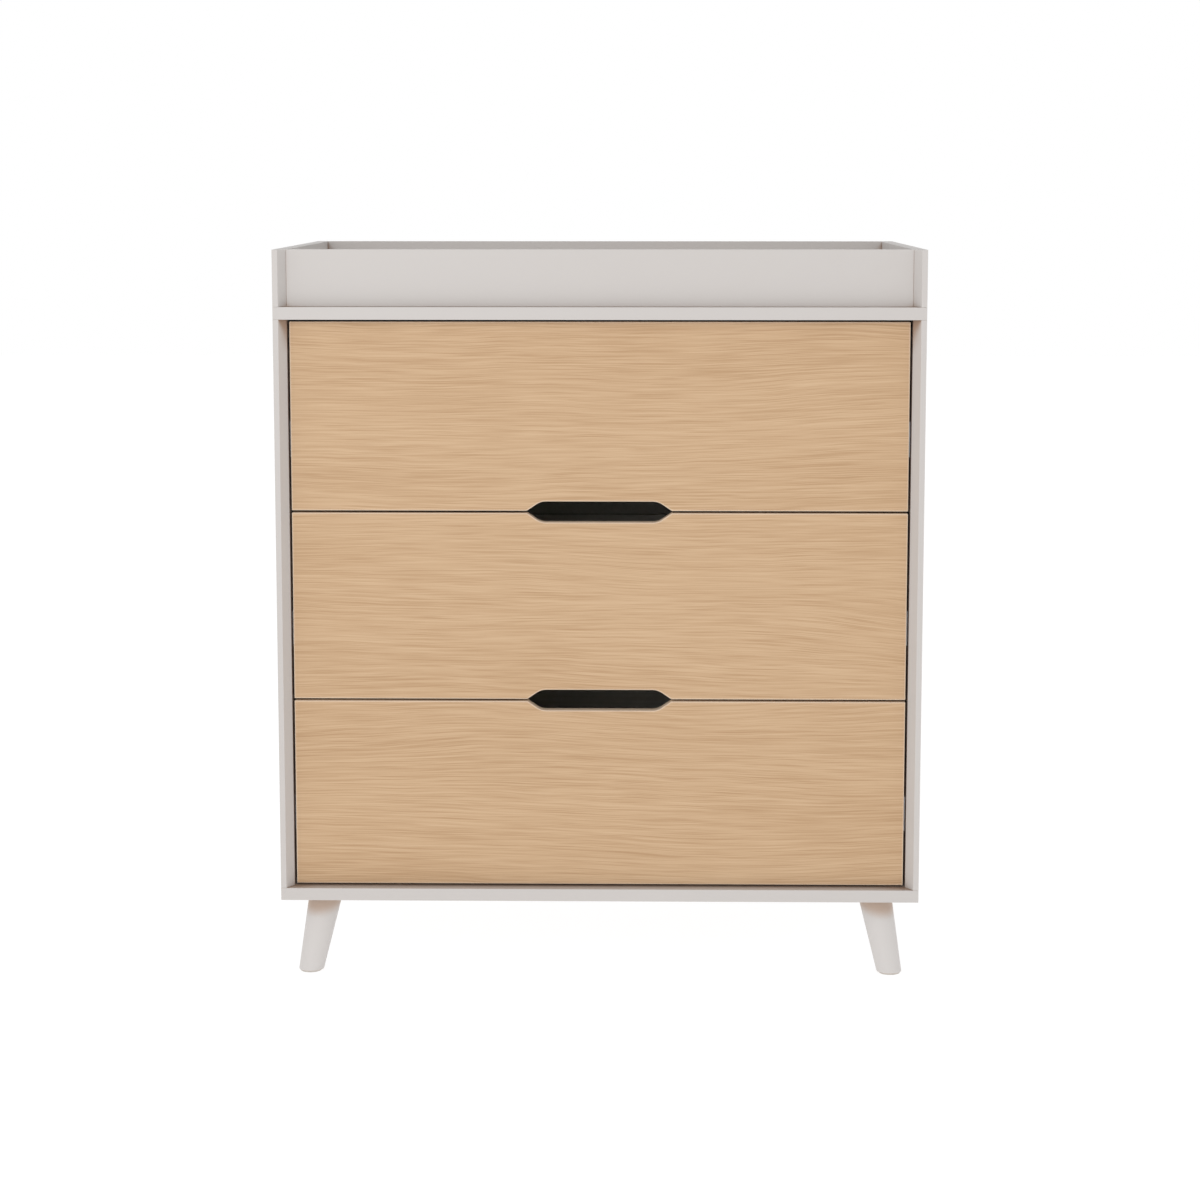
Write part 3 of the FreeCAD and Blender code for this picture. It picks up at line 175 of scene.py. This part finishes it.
def oak(name, shift, light, middle, dark, edge_band_and_highlight):
    """Lacquered oak veneer with its grain along X, and a paler colour on the board's edges: edge banding on
    the edge faces, and a painted highlight along the rounded rims.
    """
    recipe = Recipe(name)
    sweep = recipe.noise(recipe.stretched((1.6, 1.0, 6.0), shift), detail=1)
    waver = recipe.noise(recipe.stretched((7.0, 1.0, 16.0), shift), detail=2)
    lift = recipe.weighted((sweep, 0.060), (waver, 0.007))
    offset = recipe.node("ShaderNodeCombineXYZ", {"Z": lift}).outputs["Vector"]
    lifted = recipe.node("ShaderNodeVectorMath", {0: recipe.place, 1: offset}, operation="ADD")
    bent = lifted.outputs["Vector"]
    board = recipe.noise(recipe.stretched((1.2, 4.0, 9.0), shift, bent), detail=2)
    band = recipe.noise(recipe.stretched((3.0, 60.0, 80.0), shift, bent), detail=2, roughness=0.5)
    streak = recipe.noise(recipe.stretched((8.0, 400.0, 820.0), shift, bent), detail=1, roughness=0.6)
    line = recipe.noise(recipe.stretched((14.0, 500.0, 1300.0), shift, bent), detail=1, roughness=0.6)
    pore = recipe.noise(recipe.stretched((110.0, 700.0, 2600.0), shift, bent), detail=1)
    figure = recipe.weighted((board, 0.18), (band, 0.06), (streak, 0.46), (line, 0.60))
    ramp = recipe.node("ShaderNodeValToRGB", {"Fac": figure})
    stops = ramp.color_ramp.elements
    stops[0].position, stops[0].color = 0.51, dark
    stops[1].position, stops[1].color = 0.79, light
    centre = stops.new(0.65)
    centre.color = middle
    late_wood = recipe.spread(streak, 0.56, 0.44)
    pores = recipe.calculate("MULTIPLY", recipe.spread(pore, 0.60, 0.72), late_wood)
    height = recipe.node("ShaderNodeSeparateXYZ", {"Vector": bent}).outputs["Z"]
    from_ring = recipe.calculate("PINGPONG", recipe.weighted((height, 48.0), (board, 5.0)), 0.5)
    ring = recipe.calculate("MULTIPLY", recipe.spread(from_ring, 0.07, 0.0), recipe.spread(band, 0.48, 0.62))
    faint_pores = recipe.calculate("MULTIPLY", pores, 0.30)
    marks = recipe.calculate("MAXIMUM", faint_pores, recipe.calculate("MULTIPLY", ring, 0.25))
    veneer = recipe.mix(marks, ramp.outputs["Color"], dark)
    # Paler edge colour: edge banding on the edge faces, and a painted highlight along the rounded rims.
    turned = recipe.spread(recipe.facing("Y"), 0.998, 0.95)
    edge_band_and_highlight_mask = recipe.calculate("MAXIMUM", turned, recipe.rim(VENEER_HIGHLIGHT_RIM))
    colour = recipe.mix(edge_band_and_highlight_mask, veneer, edge_band_and_highlight)
    roughness = recipe.spread(line, 0.3, 0.7, 0.46, 0.58)
    grain_height = recipe.calculate("SUBTRACT", recipe.calculate("MULTIPLY", line, 0.6), pores)
    recipe.bump(grain_height, 0.00005, 0.5)
    return recipe.finish(colour, roughness, {"Specular IOR Level": 0.35})


def foil(name, light, dark):
    """Pale foil with a faint printed grain along the board, on the drawer boxes."""
    recipe = Recipe(name)
    print_lines = recipe.noise(recipe.stretched((6.0, 6.0, 260.0)), detail=4)
    clouds = recipe.noise(recipe.stretched((8.0, 8.0, 8.0)), detail=2)
    tone = recipe.weighted((print_lines, 0.7), (clouds, 0.3))
    colour = recipe.mix(recipe.spread(tone, 0.35, 0.65), dark, light)
    recipe.bump(print_lines, 0.00003, 0.4)
    roughness = recipe.spread(clouds, 0.3, 0.7, 0.48, 0.6)
    return recipe.finish(colour, roughness, {"Specular IOR Level": 0.4})


def hardboard(name, light, dark):
    """Thin hardboard: a pale printed face with fine fibres."""
    recipe = Recipe(name)
    fibres = recipe.noise(recipe.stretched((240.0, 240.0, 240.0)), detail=5, roughness=0.7, distortion=1.5)
    clouds = recipe.noise(recipe.stretched((5.0, 5.0, 5.0)), detail=3)
    tone = recipe.weighted((fibres, 0.8), (clouds, 0.2))
    colour = recipe.mix(recipe.spread(tone, 0.36, 0.64), dark, light)
    recipe.bump(fibres, 0.00008, 0.6)
    return recipe.finish(colour, recipe.spread(fibres, 0.3, 0.7, 0.62, 0.78), {"Specular IOR Level": 0.3})


def rolled_steel(name, light, dark):
    """Zinc-plated steel drawn along Y: fine draw lines and cloudy plating."""
    recipe = Recipe(name)
    lines = recipe.noise(recipe.stretched((1800.0, 9.0, 1800.0)), detail=2)
    clouds = recipe.noise(recipe.stretched((35.0, 12.0, 35.0)), detail=4)
    tone = recipe.weighted((lines, 0.45), (clouds, 0.55))
    colour = recipe.mix(recipe.spread(tone, 0.34, 0.66), dark, light)
    recipe.bump(lines, 0.00002, 0.4)
    roughness = recipe.spread(tone, 0.3, 0.7, 0.26, 0.42)
    return recipe.finish(colour, roughness, {"Metallic": 1.0})


def plated(name, light, dark, roughness_low, roughness_high):
    """Zinc plating on small hardware: bright, with cloudy passivation."""
    recipe = Recipe(name)
    clouds = recipe.noise(recipe.stretched((160.0, 160.0, 160.0)), detail=4)
    specks = recipe.noise(recipe.stretched((1400.0, 1400.0, 1400.0)), detail=2)
    colour = recipe.mix(recipe.spread(clouds, 0.35, 0.65), dark, light)
    recipe.bump(specks, 0.00002, 0.4)
    roughness = recipe.spread(clouds, 0.3, 0.7, roughness_low, roughness_high)
    return recipe.finish(colour, roughness, {"Metallic": 1.0})


def powder_coat(name, light, dark):
    """Powder coat on the wall brackets: fine pebbled texture."""
    recipe = Recipe(name)
    pebbles = recipe.noise(recipe.stretched((900.0, 900.0, 900.0)), detail=2)
    clouds = recipe.noise(recipe.stretched((30.0, 30.0, 30.0)), detail=2)
    colour = recipe.mix(recipe.spread(clouds, 0.35, 0.65), dark, light)
    recipe.bump(pebbles, 0.00006, 0.6)
    return recipe.finish(colour, recipe.spread(pebbles, 0.3, 0.7, 0.42, 0.55), {"Specular IOR Level": 0.45})


def polyethylene(name, light, dark):
    """Moulded plastic of the foot glides: fine spark-eroded grain, scuffed in patches."""
    recipe = Recipe(name)
    grain = recipe.noise(recipe.stretched((1600.0, 1600.0, 1600.0)), detail=2)
    scuffs = recipe.noise(recipe.stretched((220.0, 220.0, 220.0)), detail=5, roughness=0.7)
    colour = recipe.mix(recipe.spread(scuffs, 0.4, 0.65), dark, light)
    recipe.bump(grain, 0.00004, 0.6)
    return recipe.finish(colour, recipe.spread(scuffs, 0.3, 0.7, 0.45, 0.65), {"Specular IOR Level": 0.4})


def beech(name, light, dark):
    """Bare beech of the dowels: short fine flecks."""
    recipe = Recipe(name)
    flecks = recipe.noise(recipe.stretched((60.0, 500.0, 500.0)), detail=3)
    colour = recipe.mix(recipe.spread(flecks, 0.35, 0.65), dark, light)
    recipe.bump(flecks, 0.00005, 0.6)
    return recipe.finish(colour, recipe.spread(flecks, 0.3, 0.7, 0.6, 0.75), {"Specular IOR Level": 0.3})


# ---------------------------------------------------------------- finishes of the CAD nodes

OAK_TONES = {
    "light": (0.592, 0.410, 0.250, 1),
    "middle": (0.534, 0.354, 0.207, 1),
    "dark": (0.450, 0.281, 0.151, 1),
    # paler edge colour: edge banding, and a painted highlight on the rims
    "edge_band_and_highlight": (0.700, 0.555, 0.420, 1),
}
PAINT_TONES = {
    "colour": (0.556, 0.527, 0.507, 1),
    "shade": (0.541, 0.508, 0.487, 1),
    "edge_tone": (0.620, 0.595, 0.570, 1),
    # the warm brown of the painted shade in the corners
    "painted_corner_shade": (0.310, 0.185, 0.110, 1),
}
OAK_SHIFTS = {"top": (0.0, 0.0, 0.0), "middle": (3.7, 0.4, 11.3), "bottom": (9.1, 1.3, 27.9)}

# The legs get a lighter copy of the sand paint: painted light that brightens them.
LIT_LEG_TONES = {
    "colour": (0.605, 0.578, 0.560, 1),
    "shade": (0.590, 0.559, 0.540, 1),
    "edge_tone": (0.660, 0.635, 0.610, 1),
    # the paler warm brown of the painted shade at the legs' tops, under the carcass
    "painted_corner_shade": (0.450, 0.310, 0.220, 1),
}

finishes = {
    "sand_paint": paint("sand_paint", **PAINT_TONES),
    "drawer_board": foil("drawer_board", (0.74, 0.71, 0.66, 1), (0.67, 0.63, 0.57, 1)),
    "hardboard": hardboard("hardboard", (0.72, 0.69, 0.64, 1), (0.64, 0.60, 0.54, 1)),
    "beech_dowel": beech("beech_dowel", (0.62, 0.43, 0.26, 1), (0.48, 0.31, 0.17, 1)),
    "runner_steel": rolled_steel("runner_steel", (0.74, 0.75, 0.77, 1), (0.58, 0.59, 0.62, 1)),
    "zinc_hardware": plated("zinc_hardware", (0.74, 0.75, 0.78, 1), (0.56, 0.57, 0.60, 1), 0.24, 0.38),
    "plate_steel": plated("plate_steel", (0.62, 0.63, 0.65, 1), (0.46, 0.47, 0.50, 1), 0.32, 0.48),
    "bracket_steel": powder_coat("bracket_steel", (0.82, 0.82, 0.81, 1), (0.76, 0.76, 0.74, 1)),
    "glide_plastic": polyethylene("glide_plastic", (0.60, 0.575, 0.54, 1), (0.50, 0.475, 0.44, 1)),
}
# Lighter copy of the sand paint for the legs, a painted light.
leg_paint = paint("leg_paint", **LIT_LEG_TONES)
slot_of = {part["node"]: part["material_slot"] for part in frame["record"]["subparts"]}
for node, item in frame["nodes"].items():
    if slot_of[node] == "oak_veneer":
        drawer = node.split("_")[0]
        material = oak(f"oak_{drawer}", OAK_SHIFTS[drawer], **OAK_TONES)
    elif node.endswith("_leg"):
        material = leg_paint
    else:
        material = finishes[slot_of[node]]
    item.data.materials.clear()
    item.data.materials.append(material)

# ---------------------------------------------------------------- floor, light and camera


def make_floor():
    """A plain white floor, lit from within like a light table, so that shadows on it stay faint."""
    mesh = bpy.data.meshes.new("floor")
    sheet = bmesh.new()
    corners = ((-1, -1), (1, -1), (1, 1), (-1, 1))
    sheet.faces.new([sheet.verts.new((x * FLOOR_REACH, y * FLOOR_REACH, 0)) for x, y in corners])
    sheet.to_mesh(mesh)
    sheet.free()
    floor = bpy.data.objects.new("floor", mesh)
    bpy.context.collection.objects.link(floor)
    recipe = Recipe("floor_pale")
    clouds = recipe.noise(recipe.stretched((0.8, 0.8, 0.8)), detail=2)
    colour = recipe.mix(clouds, (0.24, 0.24, 0.24, 1), (0.27, 0.27, 0.27, 1))
    recipe.shader.inputs["Emission Color"].default_value = (1, 1, 1, 1)
    fixed = {"Specular IOR Level": 0.1, "Emission Strength": FLOOR_GLOW}
    mesh.materials.append(recipe.finish(colour, 0.9, fixed))


def make_light(name, place, target, size, power):
    """A soft square area light aimed at a point."""
    lamp = bpy.data.lights.new(name, "AREA")
    lamp.shape = "SQUARE"
    lamp.size = size
    lamp.energy = power
    item = bpy.data.objects.new(name, lamp)
    item.location = place
    item.rotation_euler = (Vector(target) - Vector(place)).to_track_quat("-Z", "Y").to_euler()
    bpy.context.collection.objects.link(item)


def make_studio():
    """A bright even room, with one broad soft light above and in front."""
    world = bpy.data.worlds.new("studio")
    bpy.context.scene.world = world
    world.use_nodes = True
    tree = world.node_tree
    towards = tree.nodes.new("ShaderNodeTexCoord").outputs["Generated"]
    split = tree.nodes.new("ShaderNodeSeparateXYZ")
    tree.links.new(towards, split.inputs["Vector"])
    dome = tree.nodes.new("ShaderNodeMapRange")
    for name, number in (("From Min", 0.35), ("From Max", 0.95), ("To Min", 1.0), ("To Max", 0.52)):
        dome.inputs[name].default_value = number
    tree.links.new(split.outputs["Z"], dome.inputs["Value"])
    background = tree.nodes["Background"]
    background.inputs["Color"].default_value = (1.0, 1.0, 1.0, 1)
    tree.links.new(dome.outputs["Result"], background.inputs["Strength"])
    make_light("key", KEY_PLACE, KEY_TARGET, KEY_SIZE, KEY_POWER)
    bpy.context.scene.view_settings.view_transform = "Standard"


def make_camera():
    """A long lens in front of the object, a little right of its middle and above its top."""
    camera = bpy.data.cameras.new("camera")
    camera.lens = 78.8
    camera.sensor_width = 36
    camera.shift_y = -0.08
    item = bpy.data.objects.new("camera", camera)
    item.location = (0.053, -3.548, 1.030)
    tilt_down, turn_left = 7.0, 0.9
    item.rotation_euler = (math.radians(90 - tilt_down), 0, math.radians(turn_left))
    bpy.context.collection.objects.link(item)
    bpy.context.scene.camera = item


make_floor()
make_studio()
make_camera()
